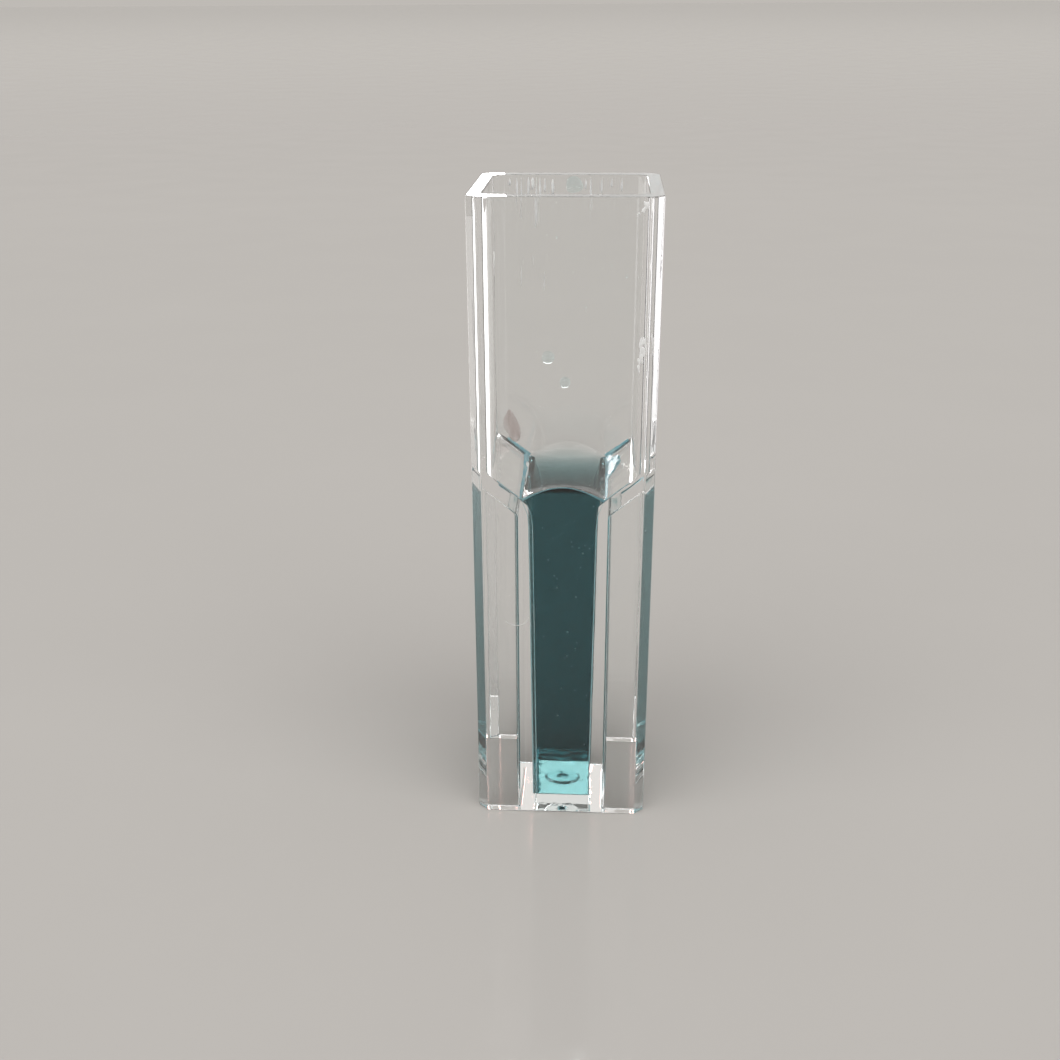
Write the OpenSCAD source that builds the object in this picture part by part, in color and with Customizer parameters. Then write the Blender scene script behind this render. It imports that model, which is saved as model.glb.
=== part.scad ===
// Semi-micro cuvette: one clear moulding that holds a coloured sample.
// Light passes along Y, through the two windows. Below the wide mouth the side walls slope in to
// a narrow chamber, and the space beside the chamber is cored out from below as a side recess.
// The origin is the centre of the foot, with +Z up and X across the side walls.

/* [Outside] */
// Width across the side walls
body_w = 12.5; // [11:0.1:16]
// Height from the foot to the rim
body_h = 45; // [36:0.5:60]
// Flat bevel on the four upright corners, measured along each face
edge_bevel = 0.7; // [0.2:0.05:1]

/* [Windows] */
// Length of the light path between the windows
path_l = 10; // [8:0.1:14]
// Thickness of each window
window_t = 1.25; // [1:0.05:2]

/* [Mouth] */
// Thickness of the side walls beside the mouth
side_wall_t = 0.95; // [0.75:0.05:1.3]
// Radius of the mouth's upright inner corners
mouth_corner_r = 0.8; // [0.2:0.1:1.4]

/* [Shoulders] */
// Height of the chamber's lips above the foot
lip_h = 24.4; // [19:0.1:30]
// Slope of the shoulders, up from the horizontal
shoulder_angle = 38.5; // [25:0.5:48]
// Thickness of the shoulders, square to their slope
shoulder_t = 0.95; // [0.75:0.05:1.3]
// Radius that rounds each lip
lip_r = 0.5; // [0.2:0.1:0.8]

/* [Chamber] */
// Width of the chamber between its lips
lip_w = 4.8; // [4:0.1:6]
// Width of the chamber at its floor, less than at the lips so that the mould's core draws out
floor_w = 4.25; // [3.5:0.05:5]
// Thickness of the chamber's side walls at the lips
chamber_wall_t = 0.7; // [0.5:0.05:1]
// Thickness of the floor under the chamber
floor_t = 1.1; // [0.8:0.1:3]

/* [Side recesses] */
// Fillet at the two upright roots of each recess, where the chamber's wall meets the windows
recess_root_r = 0.3; // [0.1:0.05:0.6]
// Fillet where the chamber's wall runs into the sloping shoulder
recess_top_r = 0.5; // [0.2:0.1:1.2]

/* [Gate mark] */
// Diameter of the shallow recess under the floor that keeps the gate's stub off the table
gate_d = 2.6; // [1.6:0.1:4]
// Depth of that recess
gate_depth = 0.25; // [0.1:0.05:0.5]
// Diameter of the stub
stub_d = 0.8; // [0.4:0.1:1.2]
// Height of the stub
stub_h = 0.12; // [0.05:0.01:0.3]

/* [Sample] */
// Depth of the sample's level below the lips
level_below_lips = 0.2; // [0:0.1:15]

/* [Hidden] */
$fn = 64;
// Number of flats in a fillet that is part of an outline
arc_steps = 12;
// How far a cut runs past the face it opens through
past = 1;

body_d = path_l + 2 * window_t;
mouth_w = body_w - 2 * side_wall_t;
chamber_out_w = lip_w + 2 * chamber_wall_t;

slope = tan(shoulder_angle);
shoulder_drop = shoulder_t / cos(shoulder_angle);

// Height of the shoulder's upper face at the distance x from the middle
function shoulder_z(x) = lip_h + (x - lip_w / 2) * slope;

// Height of the shoulder's lower face, which is the recess's ceiling
function ceiling_z(x) = shoulder_z(x) - shoulder_drop;

function unit(v) = v / norm(v);

// Angle from one direction to another, between -180 and 180
function turn(from, to) = (to - from + 540) % 360 - 180;

// Points of an arc of radius r that rounds a corner, from the edge before it to the edge after it
function rounded(before, corner, after, r) =
    let (
        to_before = unit(before - corner),
        to_after = unit(after - corner),
        half_angle = acos(to_before * to_after) / 2,
        centre = corner + unit(to_before + to_after) * r / sin(half_angle),
        start_ray = corner + to_before * r / tan(half_angle) - centre,
        end_ray = corner + to_after * r / tan(half_angle) - centre,
        start = atan2(start_ray.y, start_ray.x),
        sweep = turn(start, atan2(end_ray.y, end_ray.x))
    )
    [for (i = [0 : arc_steps]) let (a = start + sweep * i / arc_steps) centre + r * [cos(a), sin(a)]];

// Square plan with a flat bevel on each corner
module bevelled_plan(w, d, bevel) {
    x = w / 2;
    y = d / 2;
    polygon([
        [bevel - x, -y], [x - bevel, -y], [x, bevel - y], [x, y - bevel],
        [x - bevel, y], [bevel - x, y], [-x, y - bevel], [-x, bevel - y],
    ]);
}

// Rectangular plan with round corners
module rounded_plan(w, d, r) {
    square([w - 2 * r, d], center = true);
    square([w, d - 2 * r], center = true);
    for (x = [-1, 1], y = [-1, 1])
        translate([x * (w / 2 - r), y * (d / 2 - r)]) circle(r);
}

// Stands an outline drawn in X and Z upright and gives it the length of the light path along Y
module along_path() {
    rotate([90, 0, 0])
        linear_extrude(height = path_l, center = true) children();
}

module both_sides() {
    children();
    mirror([1, 0, 0]) children();
}

// The hollow's outline, down one side and up the other: mouth, shoulder, lip and chamber
module hollow_outline() {
    rim = [mouth_w / 2, body_h + past];
    shoulder_top = [mouth_w / 2, shoulder_z(mouth_w / 2)];
    lip = [lip_w / 2, lip_h];
    floor_corner = [floor_w / 2, floor_t];
    right = [rim, shoulder_top, each rounded(shoulder_top, lip, floor_corner, lip_r), floor_corner];
    left = [for (i = [len(right) - 1 : -1 : 0]) [-right[i].x, right[i].y]];
    polygon([each right, each left]);
}

// The hollow from the rim to the chamber's floor, between the windows
module hollow() {
    intersection() {
        along_path() hollow_outline();
        linear_extrude(height = body_h + past) rounded_plan(mouth_w, path_l, mouth_corner_r);
    }
}

// The space beside the chamber, open at the side and at the foot
module side_recess() {
    inner_x = chamber_out_w / 2;
    outer_x = body_w / 2 + past;
    foot = [inner_x, -past];
    top = [inner_x, ceiling_z(inner_x)];
    outer_top = [outer_x, ceiling_z(outer_x)];
    plan_w = outer_x - inner_x + 2 * recess_root_r;
    intersection() {
        along_path()
            polygon([foot, each rounded(foot, top, outer_top, recess_top_r), outer_top, [outer_x, -past]]);
        translate([inner_x + plan_w / 2, 0, -past])
            linear_extrude(height = body_h) rounded_plan(plan_w, path_l, recess_root_r);
    }
}

// The round recess under the floor, around the stub that the gate leaves
module gate_mark() {
    difference() {
        translate([0, 0, -past]) cylinder(h = gate_depth + past, d = gate_d);
        translate([0, 0, gate_depth - stub_h]) cylinder(h = stub_h + past, d = stub_d);
    }
}

module cuvette() {
    color([0.90, 0.94, 0.95, 0.35]) difference() {
        linear_extrude(height = body_h) bevelled_plan(body_w, body_d, edge_bevel);
        hollow();
        both_sides() side_recess();
        gate_mark();
    }
}

// The sample fills the hollow from the chamber's floor up to its level
module sample() {
    level = lip_h - level_below_lips;
    color([0.05, 0.42, 0.48, 0.85]) intersection() {
        hollow();
        translate([-body_w / 2, -body_d / 2, 0]) cube([body_w, body_d, level]);
    }
}

cuvette();
sample();
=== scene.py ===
"""Looks of the cuvette: the clear moulded body, the coloured sample, what filling it left behind, and painted
highlights.

Lengths in the named values are in millimetres, and MM turns them into the frame's metres. Where a
function is told a side, -1 is the left one and 1 the right one. An end of -1 is the front, and 1 the back.
"""
import math
import random

import bmesh
import bpy
from mathutils import Matrix, Vector

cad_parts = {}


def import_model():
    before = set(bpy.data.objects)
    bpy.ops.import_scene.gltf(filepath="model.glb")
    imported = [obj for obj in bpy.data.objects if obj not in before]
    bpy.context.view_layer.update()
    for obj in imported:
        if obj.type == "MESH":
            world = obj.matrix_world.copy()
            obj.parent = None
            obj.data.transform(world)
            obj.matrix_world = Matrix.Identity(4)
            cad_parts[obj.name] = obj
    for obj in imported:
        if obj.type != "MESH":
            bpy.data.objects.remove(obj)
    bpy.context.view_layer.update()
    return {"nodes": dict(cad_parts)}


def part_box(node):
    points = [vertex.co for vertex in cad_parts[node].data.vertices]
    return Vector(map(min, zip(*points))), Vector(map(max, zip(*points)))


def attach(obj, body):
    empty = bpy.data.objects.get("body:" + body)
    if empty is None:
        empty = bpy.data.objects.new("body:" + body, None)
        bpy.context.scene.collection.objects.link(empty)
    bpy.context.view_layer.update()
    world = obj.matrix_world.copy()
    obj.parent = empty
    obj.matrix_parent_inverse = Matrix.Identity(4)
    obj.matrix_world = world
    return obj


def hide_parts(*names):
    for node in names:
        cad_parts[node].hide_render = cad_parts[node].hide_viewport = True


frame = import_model()

MM = 0.001


def millimetres(length):
    """A length of the frame in millimetres, rid of rounding noise."""
    return round(length / MM, 4)


# The object's sizes, from the frame
body_low, body_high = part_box("cuvette")
sample_low, sample_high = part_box("sample")
BODY_W = millimetres(body_high.x - body_low.x)
BODY_H = millimetres(body_high.z)
FRONT_Y = millimetres(body_low.y)
# The sample fills the light path between the windows, and stands on the floor
PATH_L = millimetres(sample_high.y - sample_low.y)
FLOOR_T = millimetres(sample_low.z)

# Sizes that part.scad names, repeated here because the frame holds shapes and boxes but no such numbers
EDGE_BEVEL = 0.7
SIDE_WALL_T = 0.95
LIP_H = 24.4
SHOULDER_ANGLE = 38.5
LIP_R = 0.5
LIP_W = 4.8
FLOOR_W = 4.25

# Where the windows' inner faces and the mouth's side walls are
WINDOW_Y = PATH_L / 2
WALL_X = BODY_W / 2 - SIDE_WALL_T
# Where the front face ends and the bevel beside it starts
BEVEL_X = BODY_W / 2 - EDGE_BEVEL

SLOPE = math.tan(math.radians(SHOULDER_ANGLE))
ALONG_SHOULDER = Vector((math.cos(math.radians(SHOULDER_ANGLE)), math.sin(math.radians(SHOULDER_ANGLE))))

# The sample meets the shoulders this far from the middle, and dips between them
CONTACT_X = 2.85
SAG = 0.2
# Its climb up each window, which fades over this length
RISE_FRONT = 1.2
RISE_BACK = 1.4
RISE_LENGTH = 1.35
# At the back, a share of the climb is steeper
STEEP_SHARE = 0.45
STEEP_LENGTH = 0.3

# The floor and what is round it, and the darker room overhead
PALE = (0.52, 0.495, 0.465)
STUDIO = (0.15, 0.15, 0.155)


def shoulder_z(x):
    """Height of the shoulder's upper face at the distance x from the middle."""
    return LIP_H + (abs(x) - LIP_W / 2) * SLOPE


def liquid_surface_z(x, y):
    """Height of the sample's surface: pinned on the shoulders, climbing both windows."""
    dip = 1 - (x / CONTACT_X) ** 2
    # The climb is highest in the middle of a window, and all but gone at the contact line
    arch = math.cos(math.pi / 2 * x / (CONTACT_X + 0.1))
    front = RISE_FRONT * math.exp(-(WINDOW_Y + y) / RISE_LENGTH)
    from_back = WINDOW_Y - y
    gentle = (1 - STEEP_SHARE) * math.exp(-from_back / RISE_LENGTH)
    steep = STEEP_SHARE * math.exp(-from_back / STEEP_LENGTH)
    back = RISE_BACK * (gentle + steep)
    return shoulder_z(CONTACT_X) - SAG * dip + arch * (front + back)


# ---------------------------------------------------------------- node trees

class Nodes:
    """The node tree of a material, a lamp or the world, with a short way to add to it."""

    def __init__(self, owner):
        owner.use_nodes = True
        self.tree = owner.node_tree

    def plug(self, socket, value):
        """Gives an input a value, or links another node's output to it."""
        if isinstance(value, bpy.types.NodeSocket):
            self.tree.links.new(value, socket)
        else:
            socket.default_value = value

    def set(self, node, **values):
        """Plugs values into a node's inputs, whose names have _ in place of a space."""
        for name, value in values.items():
            self.plug(node.inputs[name.replace("_", " ")], value)
        return node

    def add(self, kind, props=None, **values):
        """A new node with these properties and inputs."""
        node = self.tree.nodes.new(kind)
        for name, value in (props or {}).items():
            setattr(node, name, value)
        return self.set(node, **values)

    def point(self):
        """The point on the object, in millimetres."""
        metres = self.add("ShaderNodeTexCoord").outputs["Object"]
        return self.add("ShaderNodeVectorMath", {"operation": "SCALE"}, Vector=metres,
                        Scale=1 / MM).outputs["Vector"]

    def stretched(self, vector, scale):
        """vector, with each axis scaled: a small number draws a pattern out along that axis."""
        return self.add("ShaderNodeMapping", Vector=vector, Scale=scale).outputs["Vector"]

    def noise(self, vector, scale, detail=2.0, roughness=0.5):
        """A cloudy pattern from 0 to 1."""
        return self.add("ShaderNodeTexNoise", Vector=vector, Scale=scale, Detail=detail,
                        Roughness=roughness).outputs["Fac"]

    def cells(self, vector, scale):
        """Distance to the nearest of many scattered points, in cells."""
        return self.add("ShaderNodeTexVoronoi", Vector=vector, Scale=scale).outputs["Distance"]

    def ramp(self, value, low, high, bottom=0.0, top=1.0, soft=False):
        """value, taken from the range low-high to the range bottom-top and held inside it.

        A soft ramp starts and ends gently.
        """
        kind = "SMOOTHSTEP" if soft else "LINEAR"
        return self.add("ShaderNodeMapRange", {"clamp": True, "interpolation_type": kind}, Value=value,
                        From_Min=low, From_Max=high, To_Min=bottom, To_Max=top).outputs["Result"]

    def math(self, operation, *values):
        """The result of a sum, product, comparison or the like."""
        node = self.add("ShaderNodeMath", {"operation": operation})
        for socket, value in zip(node.inputs, values):
            self.plug(socket, value)
        return node.outputs["Value"]

    def parts(self, vector):
        """The X, Y and Z of a vector."""
        return self.add("ShaderNodeSeparateXYZ", Vector=vector).outputs

    def blend(self, factor, first, second):
        """A colour between first and second."""
        return self.add("ShaderNodeMix", {"data_type": "RGBA"}, Factor=factor, A=(*first, 1),
                        B=(*second, 1)).outputs["Result"]

    def bump(self, height, distance, under=None):
        """Relief of the given depth in millimetres, over an earlier relief if there is one."""
        node = self.add("ShaderNodeBump", Height=height, Distance=distance * MM, Strength=1.0)
        if under is not None:
            self.plug(node.inputs["Normal"], under)
        return node.outputs["Normal"]


class Surface(Nodes):
    """A new material's nodes, around its one shader."""

    def __init__(self, name):
        self.material = bpy.data.materials.new(name)
        super().__init__(self.material)
        self.shader = self.tree.nodes["Principled BSDF"]
        self.output = self.tree.nodes["Material Output"]


# ---------------------------------------------------------------- materials

POLYSTYRENE_IOR = 1.59
WATER_IOR = 1.34
# Marks the sample's faces that lie in the plastic, where light passes as if they weren't there
AGAINST_WALL = "against_wall"


# Middle in X and Z, and radius, of two round marks on the back window's inner face
LEFT_RING = (-5.7, 25.9, 3.85)
RIGHT_RING = (5.4, 26.4, 2.75)
RING_LINE_W = 0.35
# Length of the dried haze under the rim
HAZE_L = 7.0
# A mark on a window is whole up to the first of these distances from it, and gone at the second
ON_FACE, OFF_FACE = 0.02, 0.06


def near(t, coordinate, plane):
    """1 where a coordinate is on this plane, and 0 away from it."""
    away = t.math("ABSOLUTE", t.math("SUBTRACT", coordinate, plane))
    return t.ramp(away, ON_FACE, OFF_FACE, 1.0, 0.0)


def scratches(t, point):
    """Fine lines, in patches, where a stretched noise crosses its middle value."""
    uneven = t.noise(t.stretched(point, (1.7, 1.7, 0.5)), 1.0, 1.0)
    lines = t.ramp(t.math("ABSOLUTE", t.math("SUBTRACT", uneven, 0.5)), 0.0, 0.003, 1.0, 0.0)
    return t.math("MULTIPLY", lines, t.ramp(t.noise(point, 0.35), 0.6, 0.7))


def dust(t, point):
    """Tiny round grains, in patches."""
    grains = t.ramp(t.cells(point, 1.6), 0.03, 0.05, 1.0, 0.0)
    return t.math("MULTIPLY", grains, t.ramp(t.noise(point, 0.35), 0.48, 0.6))


def dried_haze(t, point):
    """Streaks that run down from the rim, on the inner faces of both windows."""
    _, y, z = t.parts(point)
    on_window = near(t, t.math("ABSOLUTE", y), WINDOW_Y)
    near_rim = t.ramp(z, BODY_H - HAZE_L, BODY_H)
    streak = t.noise(t.stretched(point, (3.4, 3.4, 0.16)), 1.0, 3.0, 0.6)
    return t.math("MULTIPLY", t.math("MULTIPLY", on_window, near_rim), t.ramp(streak, 0.52, 0.66))


def dried_ring(t, point, ring):
    """A soft round mark that a drop left on the back window's inner face."""
    x, y, z = t.parts(point)
    ring_x, ring_z, radius = ring
    across = t.math("SUBTRACT", x, ring_x)
    above = t.math("SUBTRACT", z, ring_z)
    squares = t.math("ADD", t.math("MULTIPLY", across, across), t.math("MULTIPLY", above, above))
    wander = t.math("MULTIPLY", t.math("SUBTRACT", t.noise(point, 0.9), 0.5), 0.5)
    away = t.math("ADD", t.math("SUBTRACT", t.math("SQRT", squares), radius), wander)
    line = t.ramp(t.math("ABSOLUTE", away), 0.0, RING_LINE_W, 1.0, 0.0)
    return t.math("MULTIPLY", line, near(t, y, WINDOW_Y))


def clear_plastic():
    """Clear polystyrene: polished, with flow waves from moulding, fine scratches, marks and dust."""
    t = Surface("clear_plastic_moulded")
    point = t.point()
    lines = scratches(t, point)
    haze = dried_haze(t, point)
    rings = t.math("MAXIMUM", dried_ring(t, point, LEFT_RING), dried_ring(t, point, RIGHT_RING))
    # Each kind of mark takes its own share of the polish away
    marks = t.math("MULTIPLY", haze, 0.2)
    for mask, share in ((rings, 0.22), (dust(t, point), 0.5), (lines, 0.06)):
        marks = t.math("MAXIMUM", marks, t.math("MULTIPLY", mask, share))

    waves = t.noise(t.stretched(point, (0.5, 0.5, 0.12)), 1.0, 2.0)
    relief = t.bump(waves, 0.012)
    relief = t.bump(t.math("ADD", haze, lines), 0.002, relief)
    relief = t.bump(rings, 0.008, relief)
    t.set(t.shader, Base_Color=t.blend(t.noise(point, 0.4), (0.975, 0.985, 0.985), (0.99, 0.992, 0.99)),
          Roughness=marks, Normal=relief, IOR=POLYSTYRENE_IOR, Transmission_Weight=1.0)
    return t.material


def wetted_plastic():
    """The chamber's walls under the sample, where plastic meets liquid and not air."""
    t = Surface("clear_plastic_wetted")
    point = t.point()
    pits = t.ramp(t.cells(point, 1.1), 0.03, 0.06, 1.0, 0.0)
    waves = t.noise(t.stretched(point, (0.6, 0.6, 0.15)), 1.0, 2.0)
    t.set(t.shader, Base_Color=t.blend(pits, (1, 1, 1), (0.94, 0.97, 0.97)),
          Roughness=t.math("MULTIPLY", pits, 0.3), Normal=t.bump(waves, 0.02),
          IOR=POLYSTYRENE_IOR / WATER_IOR, Transmission_Weight=1.0)
    return t.material


# How fast the sample takes red, green and blue from the light, per metre
TAKEN = (400.0, 222.0, 206.0)


def sample_liquid():
    """Blue-green liquid: all of its colour comes from its depth."""
    t = Surface("sample_liquid")
    walled = t.add("ShaderNodeAttribute", {"attribute_name": AGAINST_WALL}).outputs["Fac"]
    ripple = t.noise(t.point(), 0.8, 2.0)
    # A file format that drops the link below still finds the sample's own value
    t.set(t.shader, IOR=WATER_IOR)
    t.set(t.shader, Base_Color=(1, 1, 1, 1), Transmission_Weight=1.0, Roughness=0.0,
          IOR=t.ramp(walled, 0.0, 1.0, WATER_IOR, 1.0), Normal=t.bump(ripple, 0.01))
    strongest = max(TAKEN)
    colour = tuple(1 - value / strongest for value in TAKEN)
    volume = t.add("ShaderNodeVolumeAbsorption", Color=(*colour, 1), Density=strongest)
    t.set(t.output, Volume=volume.outputs["Volume"])
    return t.material


def thin_film():
    """The sample's dye where it thins out or dries along an edge: a light clear cyan."""
    t = Surface("thin_film")
    point = t.point()
    spread = t.noise(point, 1.4, 3.0, 0.6)
    t.set(t.shader, Base_Color=t.blend(t.ramp(spread, 0.35, 0.65), (0.22, 0.66, 0.82), (0.55, 0.90, 0.95)),
          Roughness=t.ramp(spread, 0.4, 0.7, 0.03, 0.15), Normal=t.bump(spread, 0.03),
          Transmission_Weight=0.4, IOR=WATER_IOR)
    return t.material


def painted_highlight():
    """Painted highlight: the same light clear cyan as the thin film, in its lightest colour, for lines where
    the sample gathers light.
    """
    t = Surface("painted_highlight")
    point = t.point()
    spread = t.noise(t.stretched(point, (1.0, 1.0, 0.3)), 1.4, 3.0, 0.6)
    # This light cyan is a painted highlight, standing in for light gathered along the sample's edges
    t.set(t.shader, Base_Color=t.blend(t.ramp(spread, 0.35, 0.65), (0.45, 0.85, 0.92), (0.80, 0.97, 0.98)),
          Roughness=t.ramp(spread, 0.4, 0.7, 0.05, 0.2), Normal=t.bump(spread, 0.02),
          Transmission_Weight=0.2, IOR=WATER_IOR)
    return t.material


def clear_drop():
    """A drop or a film of the sample too thin to show much of its colour."""
    t = Surface("clear_drop")
    point = t.point()
    spread = t.noise(point, 1.1, 2.0)
    t.set(t.shader, Base_Color=t.blend(spread, (0.86, 0.965, 0.975), (0.95, 0.985, 0.985)),
          Roughness=t.ramp(t.noise(point, 2.3), 0.6, 0.8, 0.0, 0.05), Normal=t.bump(spread, 0.02),
          Transmission_Weight=1.0, IOR=WATER_IOR)
    return t.material


def mauve_drip():
    """The old drip beside the left shoulder, faintly mauve."""
    t = Surface("mauve_drip")
    point = t.point()
    runs = t.noise(t.stretched(point, (2.2, 2.2, 0.4)), 1.0, 3.0)
    t.set(t.shader, Base_Color=t.blend(t.ramp(runs, 0.35, 0.65), (0.74, 0.64, 0.63), (0.94, 0.90, 0.89)),
          Roughness=t.ramp(runs, 0.4, 0.7, 0.0, 0.12), Normal=t.bump(runs, 0.04),
          Transmission_Weight=0.9, IOR=WATER_IOR)
    return t.material


def residue_and_painted_glint():
    """A thin whitish crust: what a dried drop leaves on the trails, and painted glints on the left lip and
    the front face.
    """
    t = Surface("residue_and_painted_glint")
    point = t.point()
    grain = t.noise(point, 6.0, 4.0, 0.7)
    # Near-white: real dried residue on the trails, and painted glint on the lip and the front face
    t.set(t.shader, Base_Color=t.blend(grain, (0.93, 0.94, 0.93), (0.99, 0.99, 0.98)),
          Roughness=t.ramp(grain, 0.3, 0.7, 0.35, 0.7), Normal=t.bump(grain, 0.03), IOR=1.45)
    return t.material


def lint():
    """Grey-white textile fibre and fluff."""
    t = Surface("lint")
    grain = t.noise(t.stretched(t.point(), (9, 9, 9)), 1.0, 3.0)
    t.set(t.shader, Base_Color=t.blend(grain, (0.55, 0.55, 0.54), (0.85, 0.85, 0.82)),
          Roughness=t.ramp(grain, 0.3, 0.7, 0.5, 0.9), Normal=t.bump(grain, 0.01))
    return t.material


def floor_surface():
    """Plain pale board with a slight gloss."""
    t = Surface("floor_board")
    point = t.point()
    mottle = t.noise(point, 0.05, 3.0)
    t.set(t.shader, Base_Color=t.blend(mottle, [0.985 * v for v in PALE], [1.015 * v for v in PALE]),
          Roughness=t.ramp(mottle, 0.3, 0.7, 0.07, 0.1), Normal=t.bump(t.noise(point, 0.6), 0.002), IOR=1.33)
    return t.material


# ---------------------------------------------------------------- meshes

def in_scene(name, data):
    """A new object in the scene."""
    obj = bpy.data.objects.new(name, data)
    bpy.context.scene.collection.objects.link(obj)
    return obj


def mesh_object(name, verts, faces, material, smooth=True):
    """A mesh from corners in millimetres. The faces of a closed one are turned outward."""
    mesh = bpy.data.meshes.new(name)
    mesh.from_pydata([Vector(v) * MM for v in verts], [], faces)
    mesh.materials.append(material)
    bm = bmesh.new()
    bm.from_mesh(mesh)
    if all(edge.is_manifold for edge in bm.edges):
        bmesh.ops.recalc_face_normals(bm, faces=bm.faces)
    for face in bm.faces:
        face.smooth = smooth
    bm.to_mesh(mesh)
    bm.free()
    return in_scene(name, mesh)


def ride(obj, slot_name, *nodes):
    """Ties a piece to the one body, and hides the CAD nodes it stands for. slot_name is not used."""
    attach(obj, "root")
    if nodes:
        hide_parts(*nodes)
    return obj


def steps(count):
    """Shares from 0 to 1, in this many equal steps."""
    return [k / count for k in range(count + 1)]


def band(first, second, around):
    """Faces between two rings of corners that are numbered from first and from second."""
    faces = []
    for k in range(around):
        m = (k + 1) % around
        faces.append((first + k, first + m, second + m, second + k))
    return faces


# ---------------------------------------------------------------- the moulded body

# Edges of the moulding are rounded by this much
EDGE_R = 0.1
SHARP_ANGLE = math.radians(30)
# Corners of the CAD mesh closer than this are one corner, and faces that turn by less are one face
WELD = 0.004
FLAT_ANGLE = math.radians(0.2)
# Flats in the sample's curved surface, from side to side
SURFACE_STEPS = 32


def edge_at(bm, point):
    """The edge that the point lies on, away from its ends, and the share of it before the point."""
    best = None
    for edge in bm.edges:
        a, b = (v.co for v in edge.verts)
        along = (point - a).dot(b - a) / (b - a).length_squared
        if 0.01 < along < 0.99:
            off = (a.lerp(b, along) - point).length
            if best is None or off < best[0]:
                best = (off, edge, along)
    return best[1], best[2]


def split_at_contact_line(bm):
    """Cuts the hollow's faces along the line where the sample's surface meets them."""
    corners = {}
    for end in (-1, 1):
        for side in (-1, 1):
            point = Vector((side * CONTACT_X, end * WINDOW_Y, shoulder_z(CONTACT_X))) * MM
            edge, along = edge_at(bm, point)
            corners[side, end] = bmesh.utils.edge_split(edge, edge.verts[0], along)[1]
    for end in (-1, 1):
        left, right = corners[-1, end], corners[1, end]
        window = next(face for face in left.link_faces if right in face.verts)
        line = []
        for f in steps(SURFACE_STEPS)[1:-1]:
            x = CONTACT_X * (2 * f - 1)
            line.append(Vector((x, end * WINDOW_Y, liquid_surface_z(x, end * WINDOW_Y))) * MM)
        bmesh.utils.face_split(window, left, right, coords=line)
    for side in (-1, 1):
        front, back = corners[side, -1], corners[side, 1]
        shoulder = next(face for face in front.link_faces if back in face.verts)
        bmesh.utils.face_split(shoulder, front, back)


def is_wetted(centre):
    """True for a face of the hollow that lies under the sample's surface."""
    slack = 0.01
    inside = abs(centre.x) < CONTACT_X and abs(centre.y) < WINDOW_Y + slack
    return inside and FLOOR_T - slack < centre.z < shoulder_z(CONTACT_X)


def join_triangles(bm):
    """Joins the CAD mesh's triangles into the flat faces that they make up."""
    bmesh.ops.remove_doubles(bm, verts=bm.verts, dist=WELD * MM)
    bmesh.ops.dissolve_limit(bm, angle_limit=FLAT_ANGLE, verts=bm.verts, edges=bm.edges)
    bmesh.ops.dissolve_degenerate(bm, dist=WELD * MM, edges=bm.edges)


def rounded_edges(obj):
    """obj, with every sharp edge rounded and the faces beside them still shaded as flat."""
    bevel = obj.modifiers.new("edges", "BEVEL")
    bevel.width = EDGE_R * MM
    bevel.segments = 3
    bevel.limit_method = "ANGLE"
    bevel.angle_limit = SHARP_ANGLE
    bevel.use_clamp_overlap = False
    bevel.miter_outer = "MITER_ARC"
    normals = obj.modifiers.new("normals", "WEIGHTED_NORMAL")
    normals.mode = "FACE_AREA"
    normals.weight = 100
    normals.keep_sharp = True
    return obj


def moulded_body():
    """The CAD solid as flat faces with no triangles, with every sharp edge rounded."""
    mesh = frame["nodes"]["cuvette"].data.copy()
    mesh.name = "body"
    # This comes before the faces are sorted, because clearing the list forgets which face has which
    mesh.materials.clear()
    mesh.materials.append(clear_plastic())
    mesh.materials.append(wetted_plastic())
    bm = bmesh.new()
    bm.from_mesh(mesh)
    join_triangles(bm)
    split_at_contact_line(bm)
    for face in bm.faces:
        face.smooth = True
        face.material_index = int(is_wetted(face.calc_center_median() / MM))
    bm.to_mesh(mesh)
    bm.free()
    for layer in list(mesh.uv_layers):
        mesh.uv_layers.remove(layer)
    if mesh.attributes.get("custom_normal"):
        mesh.attributes.remove(mesh.attributes["custom_normal"])
    return rounded_edges(in_scene("body", mesh))


# ---------------------------------------------------------------- the sample

# The sample reaches this far into the plastic, so that no air gap shows between them
OVERLAP = 0.03
# Rings of the sample's mesh from window to window
LENGTH_STEPS = 80


def sample_side():
    """The sample's outline up its right side, from the chamber's floor to the contact line, in X and Z."""
    floor_corner = Vector((FLOOR_W / 2, FLOOR_T))
    lip = Vector((LIP_W / 2, LIP_H))
    down = (floor_corner - lip).normalized()
    half = down.angle(ALONG_SHOULDER) / 2
    reach = LIP_R / math.tan(half)
    # The lip is a round solid corner, so the centre of its arc lies in the plastic
    centre = lip + (down + ALONG_SHOULDER).normalized() * LIP_R / math.sin(half)
    arc_start = lip + down * reach
    arc_end = lip + ALONG_SHOULDER * reach
    contact = Vector((CONTACT_X, shoulder_z(CONTACT_X)))
    into_wall = Vector((OVERLAP, 0))
    into_shoulder = Vector((ALONG_SHOULDER.y, -ALONG_SHOULDER.x)) * OVERLAP

    wall_steps, arc_steps, shoulder_steps = 12, 12, 3
    outline = [floor_corner + Vector((OVERLAP, -OVERLAP))]
    for f in steps(wall_steps)[1:-1]:
        outline.append(floor_corner.lerp(arc_start, f) + into_wall)
    for f in steps(arc_steps):
        ray = (arc_start - centre).lerp(arc_end - centre, f)
        outline.append(centre + ray.normalized() * (LIP_R - OVERLAP))
    for f in steps(shoulder_steps)[1:]:
        outline.append(arc_end.lerp(contact, f) + into_shoulder)
    return outline


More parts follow.
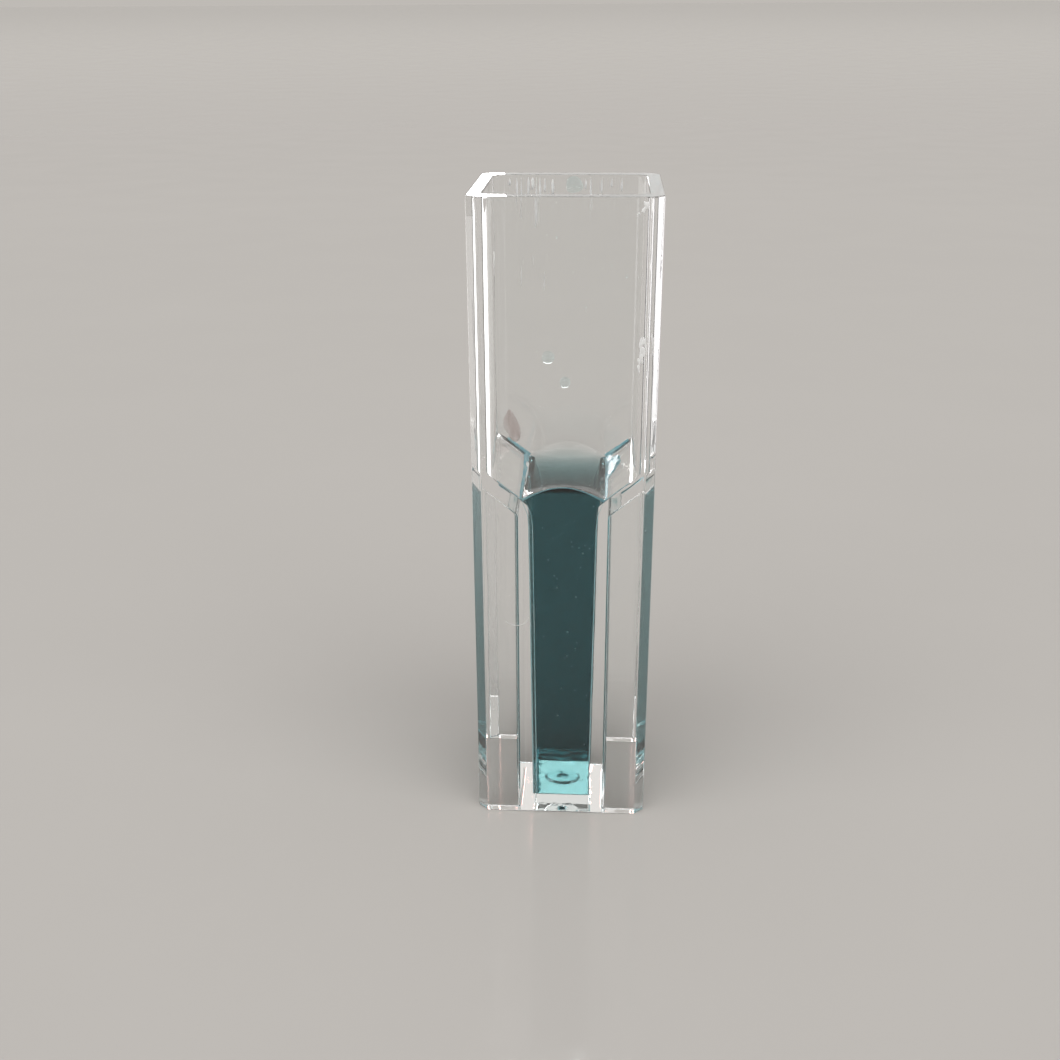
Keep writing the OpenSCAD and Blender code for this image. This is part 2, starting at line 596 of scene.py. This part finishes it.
def sample_ring(outline, y, y_drawn):
    """Corners round the sample: up its right side, over its surface and down its left side."""
    ring = [(p.x, y_drawn, p.y) for p in outline]
    for f in steps(SURFACE_STEPS)[1:-1]:
        x = CONTACT_X * (1 - 2 * f)
        ring.append((x, y_drawn, liquid_surface_z(x, y)))
    return ring + [(-p.x, y_drawn, p.y) for p in reversed(outline)]


def sample_body():
    """The sample: the chamber's shape, closed above by its own curved surface."""
    outline = sample_side()
    surface = range(len(outline) - 1, len(outline) - 1 + SURFACE_STEPS)
    verts, faces, walled = [], [], []
    for k in range(LENGTH_STEPS + 1):
        # The rings lie closer together towards the windows, where the surface climbs
        y = -WINDOW_Y * math.cos(math.pi * k / LENGTH_STEPS)
        # The first and the last lie in the windows' plastic, as high as the surface is where it meets them
        y_drawn = y if 0 < k < LENGTH_STEPS else math.copysign(WINDOW_Y + OVERLAP, y)
        ring = sample_ring(outline, y, y_drawn)
        around = len(ring)
        if k > 0:
            faces += band(len(verts) - around, len(verts), around)
            walled += [float(m not in surface) for m in range(around)]
        verts += ring
    faces += [tuple(range(around)), tuple(range(len(verts) - around, len(verts)))]
    walled += [1.0, 1.0]
    obj = mesh_object("sample_liquid", verts, faces, sample_liquid())
    obj.data.attributes.new(AGAINST_WALL, "FLOAT", "FACE").data.foreach_set("value", walled)
    obj.data.set_sharp_from_angle(angle=SHARP_ANGLE)
    return obj


# ---------------------------------------------------------------- drops, films, dirt and painted highlights

# Corners in each ring of a drop, and how many rings it has from its edge up
DROP_AROUND = 28
DROP_RINGS = 9


def dome(rng, place, out, down, half_w, half_l, height, wobble=0.06, sag=0.0):
    """Corners and faces of a drop that sits at place on a wall that faces out.

    down is the direction it hangs along the wall, wobble makes its outline uneven, and sag makes it
    fuller at its lower end.
    """
    out, down = out.normalized(), down.normalized()
    across = out.cross(down)
    place = Vector(place)
    # The outline's unevenness is three waves round it, of two, three and four crests
    phases = [rng.uniform(0, 2 * math.pi) for _ in range(3)]
    verts = []
    for j in range(DROP_RINGS):
        tilt = math.pi / 2 * j / DROP_RINGS
        for k in range(DROP_AROUND):
            a = 2 * math.pi * k / DROP_AROUND
            edge = 1 + wobble * sum(math.sin((n + 2) * a + phase) for n, phase in enumerate(phases)) / 2
            reach = math.cos(tilt) * edge
            sideways, along = reach * math.sin(a), reach * math.cos(a)
            full = 1 + sag * along
            verts.append(place + across * sideways * half_w * full + down * along * half_l
                         + out * height * math.sin(tilt) * full)
    faces = [tuple(range(DROP_AROUND))]
    for j in range(DROP_RINGS - 1):
        faces += band(j * DROP_AROUND, (j + 1) * DROP_AROUND, DROP_AROUND)
    top = len(verts)
    verts.append(place + out * height)
    last = top - DROP_AROUND
    faces += [(last + k, last + (k + 1) % DROP_AROUND, top) for k in range(DROP_AROUND)]
    return verts, faces


# Edges of drops and films that turn by more than this stay sharp
DROP_SHARP_ANGLE = math.radians(50)


def gathered(name, shapes, material):
    """One object from many (corners, faces) shapes."""
    verts, faces = [], []
    for shape_verts, shape_faces in shapes:
        start = len(verts)
        verts += shape_verts
        faces += [tuple(start + i for i in face) for face in shape_faces]
    obj = mesh_object(name, verts, faces, material)
    obj.data.set_sharp_from_angle(angle=DROP_SHARP_ANGLE)
    return obj


# A drop's flat side keeps this far off the plastic, so that light leaves one before it meets the other
GAP = 0.004
DOWN = Vector((0, 0, -1))
TO_FRONT = Vector((0, -1, 0))
TO_BACK = Vector((0, 1, 0))


def on_back(rng, x, z, half_w, half_l, height, down=DOWN, **form):
    """A drop on the back window's inner face."""
    return dome(rng, (x, WINDOW_Y - GAP, z), TO_FRONT, down, half_w, half_l, height, **form)


SMALL_DROPS = 9


def hanging_drops():
    """Drops left on the back window's inner face when the sample was poured in."""
    rng = random.Random(11)
    shapes = [
        on_back(rng, -1.50, 32.3, half_w=0.47, half_l=0.48, height=0.30, wobble=0.02, sag=0.04),
        on_back(rng, -0.26, 30.45, half_w=0.41, half_l=0.42, height=0.27, wobble=0.02, sag=0.04),
        # This one hangs from the rim
        on_back(rng, 0.30, 44.35, half_w=0.62, half_l=0.56, height=0.30, wobble=0.08, sag=0.15),
    ]
    for _ in range(SMALL_DROPS):
        r = rng.uniform(0.04, 0.08)
        x, z = rng.uniform(-4.4, 4.4), rng.uniform(29, 43)
        shapes.append(on_back(rng, x, z, r, r * rng.uniform(1, 1.4), r * 0.5))
    return gathered("hanging_drops", shapes, clear_drop())


# Place in X, length and half the width of each dried run under the rim
RUNS = ((-4.2, 0.5, 0.06), (-3.7, 1.5, 0.07), (-3.4, 2.6, 0.05), (-2.9, 1.2, 0.09), (-2.6, 0.8, 0.12),
        (-2.35, 3.4, 0.06), (-2.1, 1.6, 0.08), (-1.75, 0.9, 0.07), (-1.2, 1.1, 0.1), (1.1, 0.7, 0.06),
        (1.45, 2.2, 0.08), (2.2, 1.0, 0.05), (2.9, 0.6, 0.05), (3.6, 0.8, 0.06))
# Place in X and Z, and length, of the thin runs lower down
THIN_RUNS = ((-3.43, 38.4, 2.0), (-2.5, 39.3, 0.9), (-1.79, 37.8, 1.4))
THIN_RUN_HALF_W = 0.03
THIN_RUN_T = 0.01


def trails():
    """Narrow runs that dried on the way down from the rim."""
    rng = random.Random(19)
    shapes = []
    for x, length, half_w in RUNS:
        z = BODY_H - rng.uniform(0.15, 0.3) - length / 2
        shapes.append(on_back(rng, x, z, half_w, length / 2, half_w * 0.5, wobble=0.1, sag=0.25))
    for x, z, length in THIN_RUNS:
        shapes.append(on_back(rng, x, z, THIN_RUN_HALF_W, length / 2, THIN_RUN_T, wobble=0.1, sag=0.2))
    return gathered("dried_trails", shapes, residue_and_painted_glint())


def old_drip():
    """The long drip in the corner above the left shoulder."""
    rng = random.Random(31)
    leaning = Vector((0.2, 0, -1))
    drip = on_back(rng, -4.2, 27.1, half_w=0.56, half_l=1.25, height=0.16, down=leaning, wobble=0.12, sag=0.3)
    return gathered("old_drip", [drip], mauve_drip())


# Place in X and Z, and half the width and half the length, of the white patches of painted glint on the front
# face
FACE_GLINT_PATCHES = ((5.20, 36.00, 0.13, 0.36), (5.02, 35.65, 0.17, 0.48), (5.12, 35.15, 0.15, 0.42),
               (4.93, 34.75, 0.12, 0.42), (4.88, 34.30, 0.07, 0.22), (5.05, 44.45, 0.20, 0.28),
               (4.90, 44.20, 0.12, 0.16), (4.60, 44.00, 0.08, 0.09))
# The same of those on the right bevel, but with their way from its edge in place of X
BEVEL_GLINT_PATCHES = ((0.20, 36.0, 0.12, 0.42), (0.26, 35.5, 0.08, 0.30))
GLINT_PATCH_T = 0.04


def painted_glint_patches():
    """White crust-like patches on the front face, near its right edge, and on the bevel there: painted
    glints, standing in for light that drops there catch.
    """
    rng = random.Random(23)
    outward = Vector((1, -1, 0)).normalized()
    sites = [((x, FRONT_Y - GAP, z), TO_FRONT, half_w, half_l) for x, z, half_w, half_l in FACE_GLINT_PATCHES]
    for along, z, half_w, half_l in BEVEL_GLINT_PATCHES:
        place = Vector((BEVEL_X + along, FRONT_Y + along, z)) + outward * GAP
        sites.append((place, outward, half_w, half_l))
    shapes = []
    for place, out, half_w, half_l in sites:
        # Each white patch is a painted glint
        shapes.append(dome(rng, place, out, DOWN, half_w, half_l, GLINT_PATCH_T, wobble=0.6, sag=0.1))
    return gathered("painted_glint_patches", shapes, residue_and_painted_glint())


# Corners across a strip, from one edge over its top to the other
STRIP_ACROSS = 7


def strip(path, width, thickness, out, edge=1.0):
    """A low ridge that follows the places in path, as wide and as thick as those functions say.

    edge is 1 for a round ridge, and nearer 0 for a flat top with steep edges.
    """
    verts, faces = [], []
    count = len(path)
    for k, place in enumerate(path):
        f = k / (count - 1)
        ahead = (path[min(k + 1, count - 1)] - path[max(k - 1, 0)]).normalized()
        facing = (out - ahead * out.dot(ahead)).normalized()
        across = ahead.cross(facing)
        half, high = width(f) / 2, thickness(f)
        for m in range(STRIP_ACROSS):
            a = math.pi * m / (STRIP_ACROSS - 1)
            verts.append(place + across * half * math.cos(a) + facing * high * abs(math.sin(a)) ** edge)
    for k in range(count - 1):
        faces += band(k * STRIP_ACROSS, (k + 1) * STRIP_ACROSS, STRIP_ACROSS)
    last = (count - 1) * STRIP_ACROSS
    faces += [tuple(range(STRIP_ACROSS)), tuple(range(last, last + STRIP_ACROSS))]
    return verts, faces


def shoulder_frame(side, x, y):
    """A place on a shoulder, the way it faces, and the way down it."""
    out = Vector((-side * ALONG_SHOULDER.y, 0, ALONG_SHOULDER.x))
    down = Vector((-side * ALONG_SHOULDER.x, 0, -ALONG_SHOULDER.y))
    return Vector((side * x, y, shoulder_z(x))) + out * GAP, out, down


# Where the lines of film on the front window lie, just off its inner face
LINE_Y = 0.01 - WINDOW_Y


def front_arc():
    """A thin line along the sample's upper edge on the front window, widest at its ends."""
    above_edge = 0.02
    path = []
    for f in steps(40):
        x = CONTACT_X * (2 * f - 1)
        path.append(Vector((x, LINE_Y, liquid_surface_z(x, -WINDOW_Y) + above_edge)))
    return strip(path, lambda f: 0.07 * (1 + 2.5 * abs(2 * f - 1) ** 4), lambda f: 0.03, TO_BACK)


def film_on_lip(side, width, y, thickness, edge=1.0):
    """A film that starts at the contact line and reaches up a shoulder as far as it is wide.

    width, y and thickness are functions of the share of the way along it.
    """
    off_contact = 0.02
    path = []
    for f in steps(72):
        x = CONTACT_X + off_contact + width(f) / 2 * ALONG_SHOULDER.x
        path.append(shoulder_frame(side, x, y(f))[0])
    return strip(path, width, thickness, shoulder_frame(side, CONTACT_X, 0.0)[1], edge)


def lip_film(side):
    """The film over a lip, wider towards the back."""
    def width(f):
        return 0.16 + 0.30 * f + 0.04 * math.sin(9 * f)

    return film_on_lip(side, width, lambda f: WINDOW_Y * (2 * f - 1) * 0.99, lambda f: 0.04)


def broad_film():
    """A broad ragged patch of film on the right lip, thicker towards the back, flat enough to glare."""
    def width(f):
        ragged = 0.10 * math.sin(29 * f) + 0.08 * math.sin(61 * f + 2)
        return 0.12 + 1.15 * math.sin(math.pi * f ** 1.3) * (1 + ragged)

    return film_on_lip(1, width, lambda f: WINDOW_Y * f - 0.95, lambda f: 0.05 + 0.2 * f, edge=0.3)


def corner_film(side, end):
    """The film up the corner between a shoulder and a window, narrower towards its top."""
    short_of_wall = 0.75
    top_x = WALL_X - short_of_wall
    off_window, off_shoulder = 0.05, 0.06
    wide = 0.42 if end > 0 else 0.16
    path = []
    for f in steps(16):
        x = CONTACT_X + (top_x - CONTACT_X) * f
        path.append(Vector((side * x, end * (WINDOW_Y - off_window), shoulder_z(x) + off_shoulder)))
    facing = shoulder_frame(side, CONTACT_X, 0.0)[1] + Vector((0, -end, 0))
    return strip(path, lambda f: wide * (1 - 0.6 * f), lambda f: 0.06, facing.normalized())


def tide_marks():
    """Light cyan marks of thin sample: around its surface, up the shoulders' corners, and on the lips."""
    shapes = [front_arc(), lip_film(-1), lip_film(1), broad_film()]
    for side in (-1, 1):
        for end in (-1, 1):
            shapes.append(corner_film(side, end))
    return gathered("tide_marks", shapes, thin_film())


# Side, distance in from the chamber's wall, and width of each painted highlight line
LIT_EDGES = ((-1, 0.03, 0.09), (-1, 0.28, 0.07), (1, 0.05, 0.10))
# The lines start this far above the floor, and lean out over the lip from this share of their height
LIT_START = 0.1
LEAN_FROM = 0.93


def lit_edge(side, inset, wide):
    """A painted highlight line up the front window, slightly uneven, and pointed at its upper end."""
    def width(f):
        return wide * (0.9 + 0.1 * math.sin(7 * f)) * min(1.0, 8 * (1.02 - f))

    bottom = FLOOR_T + LIT_START
    path = []
    for f in steps(24):
        lean = max(0.0, (f - LEAN_FROM) / (1 - LEAN_FROM)) ** 2
        wall_x = FLOOR_W / 2 + (LIP_W - FLOOR_W) / 2 * f + (CONTACT_X - LIP_W / 2) * lean
        z = bottom + (shoulder_z(CONTACT_X) - bottom) * f
        path.append(Vector((side * (wall_x - inset), LINE_Y, z)))
    return strip(path, width, lambda f: 0.05, TO_BACK)


def lit_edges():
    """Painted highlights: brighter cyan lines where the sample's upright front edges gather light."""
    return gathered("lit_edges", [lit_edge(*line) for line in LIT_EDGES], painted_highlight())


# Distance from the middle in X, place in Y, half the width, half the length, and height of each white dome of
# painted glint
PAINTED_GLINT_DOMES = ((2.92, 2.7, 0.55, 0.17, 0.12), (2.84, 1.0, 1.25, 0.08, 0.07), (2.80, -0.9, 0.70, 0.04, 0.04))


def painted_glint_on_lip():
    """White domes with a thin tail on the left lip: a painted glint, standing in for light that the wet lip
    catches.
    """
    rng = random.Random(5)
    shapes = []
    for x, y, half_w, half_l, height in PAINTED_GLINT_DOMES:
        place, out, down = shoulder_frame(-1, x, y)
        shapes.append(dome(rng, place, out, down, half_w, half_l, height, wobble=0.12, sag=0.1))
    # White diffuse domes, painted glint in place of a real reflection
    return gathered("painted_glint_on_lip", shapes, residue_and_painted_glint())


def speck(rng, place, size):
    """A small irregular grain: the hull of points spread evenly over a ball, at uneven distances."""
    verts = []
    golden = math.pi * (3 - math.sqrt(5))
    count = 14
    for k in range(count):
        z = 1 - 2 * (k + 0.5) / count
        flat = math.sqrt(1 - z * z)
        r = size * rng.uniform(0.6, 1.2)
        way = Vector((flat * math.cos(golden * k), flat * math.sin(golden * k), z))
        verts.append(Vector(place) + way * r)
    hull = bmesh.new()
    for v in verts:
        hull.verts.new(v)
    bmesh.ops.convex_hull(hull, input=hull.verts)
    hull.verts.index_update()
    corners = [v.co.copy() for v in hull.verts]
    faces = [tuple(v.index for v in face.verts) for face in hull.faces]
    hull.free()
    return corners, faces


# Places in X and Z of the specks that can be told apart, and how far forward they float
CLEAR_SPECKS = ((1.41, 20.67), (-0.41, 18.0), (0.95, 17.3), (0.4, 14.5), (0.95, 13.2), (0.35, 12.6),
                (-0.05, 9.9), (-0.3, 7.6))
CLEAR_SPECKS_Y = -4.0
FINE_SPECKS = 22
DUST_GRAINS = 60


def specks_in_sample(material):
    """Fine particles that float in the sample."""
    rng = random.Random(37)
    shapes = []
    for x, z in CLEAR_SPECKS:
        shapes.append(speck(rng, (x, CLEAR_SPECKS_Y, z), rng.uniform(0.05, 0.08)))
    for _ in range(FINE_SPECKS):
        place = (rng.uniform(-1.9, 1.9), rng.uniform(-4.6, 1.5), rng.uniform(1.6, 23.0))
        shapes.append(speck(rng, place, rng.uniform(0.02, 0.04)))
    return gathered("specks_in_sample", shapes, material)


def dust_on_plastic(material):
    """Grains on the front window's outer face, more of them low down."""
    rng = random.Random(41)
    lowest, highest, half_w = 0.4, 44.4, 5.3
    shapes = []
    for _ in range(DUST_GRAINS):
        z = (highest - lowest) * rng.random() ** 1.8 + lowest
        x = rng.uniform(-half_w, half_w)
        size = rng.uniform(0.012, 0.03)
        shapes.append(speck(rng, (x, FRONT_Y - 0.3 * size, z), size))
    return gathered("dust_on_windows", shapes, material)


# Places in X and Z that the fibre bends towards, its radius, and how far off the window its middle is
FIBRE_BENDS = ((-4.0, 15.95), (-3.7, 15.72), (-3.2, 15.62), (-2.75, 15.72), (-2.45, 15.95), (-2.33, 16.3))
FIBRE_R = 0.022
FIBRE_OFF = 0.03


def fibre(material):
    """A short textile fibre that clings to the front window."""
    points = [Vector((x, FRONT_Y - FIBRE_OFF, z)) for x, z in FIBRE_BENDS]
    curve = bpy.data.curves.new("fibre", "CURVE")
    curve.dimensions = "3D"
    curve.bevel_depth = FIBRE_R * MM
    curve.bevel_resolution = 2
    curve.use_fill_caps = True
    spline = curve.splines.new("NURBS")
    spline.points.add(len(points) - 1)
    spline.use_endpoint_u = True
    spline.order_u = 4
    for target, p in zip(spline.points, points):
        target.co = (*(p * MM), 1)
    curve.materials.append(material)
    return in_scene("fibre", curve)


# ---------------------------------------------------------------- the camera, the lamps and the floor

def camera():
    """The photograph's place, aim and lens, found from the object's own corners."""
    place = Vector((2.94, -91.10, 56.11))
    yaw = math.radians(-3.635)
    pitch = math.radians(-25.14)
    roll = math.radians(-0.343)
    ahead = Vector((math.sin(yaw) * math.cos(pitch), math.cos(yaw) * math.cos(pitch), math.sin(pitch)))
    right = ahead.cross(Vector((0, 0, 1))).normalized()
    up = right.cross(ahead)
    right, up = (right * math.cos(roll) + up * math.sin(roll),
                 up * math.cos(roll) - right * math.sin(roll))
    data = bpy.data.cameras.new("camera")
    data.sensor_width = 36
    data.lens = 44.9
    data.shift_x = 0.0026
    data.shift_y = 0.0835
    data.clip_start = 0.005
    data.clip_end = 50
    obj = in_scene("camera", data)
    obj.matrix_world = Matrix.Translation(place * MM) @ Matrix((right, up, -ahead)).transposed().to_4x4()
    bpy.context.scene.camera = obj


NEUTRAL = (1.0, 1.0, 1.0)
WARM = (1.0, 0.46, 0.40)
LILAC = (0.97, 0.96, 1.0)
# More reflections than a ray makes
MANY = 99


def panel(name, place, aim, width, height, radiance, tint=NEUTRAL, least_mirrors=1,
          most_mirrors=MANY, through=MANY, fade=0.0):
    """A soft panel that gloss and clear plastic show, and that casts no light on plain surfaces.

    A ray sees it after least_mirrors to most_mirrors reflections. Towards least_mirrors, passing
    as many surfaces as through says counts as a reflection too. fade is the share of the panel's
    height, from its lower edge, over which it grows bright.
    """
    data = bpy.data.lights.new(name, "AREA")
    data.shape = "RECTANGLE"
    data.size = width * MM
    data.size_y = height * MM
    data.energy = radiance * math.pi * width * height * MM * MM
    data.color = tint
    t = Nodes(data)
    path = t.add("ShaderNodeLightPath").outputs
    passed = t.math("MULTIPLY_ADD", path["Glossy Depth"], through, path["Transmission Depth"])
    share = t.math("GREATER_THAN", passed, through * least_mirrors - 0.5)
    share = t.math("MULTIPLY", share, t.math("LESS_THAN", path["Glossy Depth"], most_mirrors + 0.5))
    share = t.math("MULTIPLY", share, t.math("LESS_THAN", path["Diffuse Depth"], 0.5))
    if fade:
        on_panel = t.add("ShaderNodeNewGeometry").outputs["Parametric"]
        share = t.math("MULTIPLY", share, t.ramp(t.parts(on_panel)["Y"], 0.0, fade, soft=True))
    t.set(t.tree.nodes["Emission"], Strength=share)
    obj = in_scene(name, data)
    obj.location = Vector(place) * MM
    obj.rotation_euler = (Vector(aim) - Vector(place)).to_track_quat("-Z", "Y").to_euler()
    obj.visible_camera = False
    return obj


def sun(name, azimuth, elevation, spread, irradiance):
    """A far soft lamp, with its angles in degrees. Azimuth 0 shines from behind the object."""
    a, e = math.radians(azimuth), math.radians(elevation)
    source = Vector((math.sin(a) * math.cos(e), math.cos(a) * math.cos(e), math.sin(e)))
    data = bpy.data.lights.new(name, "SUN")
    data.energy = irradiance
    data.angle = math.radians(spread)
    obj = in_scene(name, data)
    obj.rotation_euler = (-source).to_track_quat("-Z", "Y").to_euler()
    obj.visible_camera = False
    obj.visible_glossy = False


def suns():
    """The light on plain surfaces: two soft keys from the camera's side, and one from straight above."""
    sun("left_key", azimuth=220, elevation=50, spread=50, irradiance=1.05)
    sun("right_fill", azimuth=140, elevation=50, spread=50, irradiance=1.05)
    sun("overhead", azimuth=0, elevation=90, spread=70, irradiance=1.0)


def panels(pieces):
    """Soft panels around the object, which only its own pieces show."""
    cards = [
        # The light that the foot mirrors faces down, so only what looks up from the foot can see it.
        # The sample takes red from it, so the part that the sample shows is warm.
        panel("foot_light", (-0.9, 39, 24), aim=(-0.9, 39, 0), width=10.6, height=24, radiance=0.3),
        panel("foot_light_under_sample", (-1.07, 37, 23), aim=(-1.07, 37, 0), width=5.75, height=18,
              radiance=9.0, tint=WARM, most_mirrors=1),
        panel("low_card", (0, 400, 98), aim=(0, 0, 45), width=200, height=52, radiance=0.6),
        # Only drops show this one, because a ray that crosses a drop and both windows passes six surfaces
        panel("drop_card", (0, 440, 165), aim=(0, 0, 30), width=400, height=200, radiance=2.2,
              most_mirrors=0, through=6),
        # The left wall shows the first of these. The right wall, after more reflections, shows the other.
        panel("left_card", (-32, 5, 20), aim=(0, 5, 20), width=110, height=40, radiance=1.5,
              most_mirrors=1, fade=0.7),
        panel("dim_left_card", (-33, 5, 20), aim=(0, 5, 20), width=110, height=40, radiance=0.85,
              tint=LILAC, least_mirrors=2, fade=0.7),
        # Low behind, to the left: it glints where the film on the right shoulder is uneven
        panel("glint_card", (-130, 378, 106), aim=(0, 0, 25), width=200, height=66, radiance=8.0),
    ]
    shown_by = bpy.data.collections.new("shows_the_panels")
    for piece in pieces:
        shown_by.objects.link(piece)
    for card in cards:
        card.light_linking.receiver_collection = shown_by


# The world turns from the floor's colour to the studio's between 11 and 14 degrees above the horizon
STUDIO_FROM = math.sin(math.radians(11))
STUDIO_WHOLE = math.sin(math.radians(14))


def world():
    """The floor's own colour all round, with a darker studio overhead for light and clear plastic."""
    surroundings = bpy.data.worlds.new("studio")
    bpy.context.scene.world = surroundings
    t = Nodes(surroundings)
    direction = t.add("ShaderNodeTexCoord").outputs["Generated"]
    overhead = t.ramp(t.parts(direction)["Z"], STUDIO_FROM, STUDIO_WHOLE)
    # The camera and reflections see the floor's colour all the way up
    path = t.add("ShaderNodeLightPath").outputs
    plain = t.math("MAXIMUM", path["Is Camera Ray"], path["Is Glossy Ray"])
    studio = t.math("MULTIPLY", overhead, t.math("SUBTRACT", 1.0, plain))
    t.set(t.tree.nodes["Background"], Color=t.blend(studio, PALE, STUDIO))


def floor():
    """The floor, a hair under the foot, because a moulded foot keeps air between itself and a table."""
    reach = 15000
    air = 0.03
    corners = [(-reach, -reach, -air), (reach, -reach, -air), (reach, reach, -air), (-reach, reach, -air)]
    mesh_object("floor", corners, [(0, 1, 2, 3)], floor_surface(), smooth=False)


bpy.context.scene.view_settings.view_transform = "Standard"
# Light meets many faces on its way through the clear walls, so it is followed for longer than usual
bpy.context.scene.cycles.max_bounces = 40
bpy.context.scene.cycles.transmission_bounces = 40
bpy.context.scene.cycles.glossy_bounces = 12
camera()
world()
floor()

fluff = lint()
pieces = [
    ride(moulded_body(), "clear_plastic", "cuvette"),
    ride(sample_body(), "coloured_sample", "sample"),
    ride(hanging_drops(), "coloured_sample"),
    # Painted glint: white domes on the left lip
    ride(painted_glint_on_lip(), "coloured_sample"),
    ride(tide_marks(), "coloured_sample"),
    # Painted highlight lines up the front window
    ride(lit_edges(), "coloured_sample"),
    ride(specks_in_sample(fluff), "coloured_sample"),
    ride(trails(), "clear_plastic"),
    ride(old_drip(), "clear_plastic"),
    # Painted glints: white patches on the front face and the right bevel
    ride(painted_glint_patches(), "clear_plastic"),
    ride(dust_on_plastic(fluff), "clear_plastic"),
    ride(fibre(fluff), "clear_plastic"),
]
suns()
panels(pieces)
